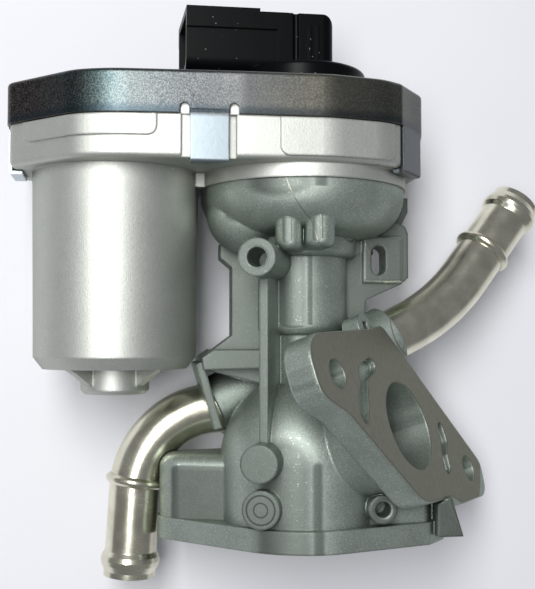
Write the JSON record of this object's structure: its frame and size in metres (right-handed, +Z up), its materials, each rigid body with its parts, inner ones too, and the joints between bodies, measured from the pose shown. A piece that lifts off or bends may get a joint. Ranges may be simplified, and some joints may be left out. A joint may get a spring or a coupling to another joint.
{
  "type": "exhaust gas recirculation valve",
  "caption": "Motor-driven exhaust gas recirculation valve: water-cooled cast body, inclined outlet flange, geared actuator with clipped steel cover and plug connector.",
  "frame": {"origin": "centre of the gas inlet bore in the base face, on the valve stem axis", "axes": "+Z up the stem towards the gear cover, motor can towards -X, outlet flange towards +X and -Y"},
  "size_m": [0.1698, 0.0898, 0.1743],
  "materials": {
    "body_casting": "as-cast, shot blasted",
    "housing_casting": "fine-grained die casting",
    "zinc_sheet": "zinc plated, iridescent passivation",
    "black_plastic": "satin",
    "white_plastic": "moulded",
    "gear_plastic": "glass-filled",
    "plated_pipe": "satin nickel plate",
    "valve_steel": "machined",
    "bright_steel": "bright",
    "spring_steel": "drawn wire",
    "bronze": "sintered",
    "copper": "enamelled wire",
    "ferrite": "sintered",
    "core_iron": "laminated",
    "carbon": "carbon",
    "seal_rubber": "moulded",
    "board": "circuit board",
    "contact": "tinned"
  },
  "bodies": {
    "static": {"valve_body": "body_casting", "valve_seat": "valve_steel", "guide_sleeve": "bright_steel", "thrust_washer": "bronze", "stem_bushing": "bronze", "stem_seal": "seal_rubber", "seal_cap": "bright_steel", "idler_pin": "bright_steel", "idler_clip": "spring_steel", "gear_bearing": "bronze", "return_spring": "spring_steel", "motor_shell": "bright_steel", "motor_magnets": "ferrite", "rear_bushing": "bronze", "front_bushing": "bronze", "motor_plate": "bright_steel", "brush_card": "white_plastic", "brushes": "carbon", "brush_springs": "spring_steel", "motor_screws": "bright_steel", "actuator_housing": "housing_casting", "joint_screws": "bright_steel", "joint_dowel": "bright_steel", "body_seal": "seal_rubber", "cover_gasket": "seal_rubber", "steel_cover": "zinc_sheet", "connector_housing": "black_plastic", "connector_pins": "contact", "cap_seal": "seal_rubber", "cap_retainer": "spring_steel", "sensor_board": "board", "sensor_chip": "black_plastic", "coolant_inlet_pipe": "plated_pipe", "coolant_outlet_pipe": "plated_pipe"},
    "motor_rotor": {"motor_shaft": "bright_steel", "armature_core": "core_iron", "armature_windings": "copper", "commutator": "copper", "motor_pinion": "bronze"},
    "idler": {"idler_gear": "gear_plastic"},
    "output": {"output_gear": "gear_plastic", "sensor_magnet": "ferrite"},
    "valve": {"valve_stem": "valve_steel", "valve_head": "valve_steel", "crosshead": "bright_steel", "cross_pin": "bright_steel"}
  },
  "joints": [
    {"name": "motor_turn", "type": "hinge", "parent": "static", "child": "motor_rotor", "pos_m": [-0.057, 0, 0.09], "axis": [0, 0, 1], "range_deg": [0, 1785.5], "stiffness_Nm_per_rad": 0.00012, "springref_deg": -343.77},
    {"name": "idler_turn", "type": "hinge", "parent": "static", "child": "idler", "pos_m": [-0.0315, 0, 0.12], "axis": [0, 0, 1], "range_deg": [-383, 0]},
    {"name": "output_turn", "type": "hinge", "parent": "static", "child": "output", "pos_m": [0, 0, 0.118], "axis": [0, 0, 1], "range_deg": [0, 90.05]},
    {"name": "valve_lift", "type": "slide", "parent": "static", "child": "valve", "axis": [0, 0, -1], "range_m": [0, 0.00751]}
  ],
  "couplings": [
    {"joint": "output_turn", "follows": "motor_turn", "ratio": 0.05042},
    {"joint": "idler_turn", "follows": "motor_turn", "ratio": -0.21429},
    {"joint": "valve_lift", "follows": "motor_turn", "m_per_rad": 0.00024074}
  ]
}
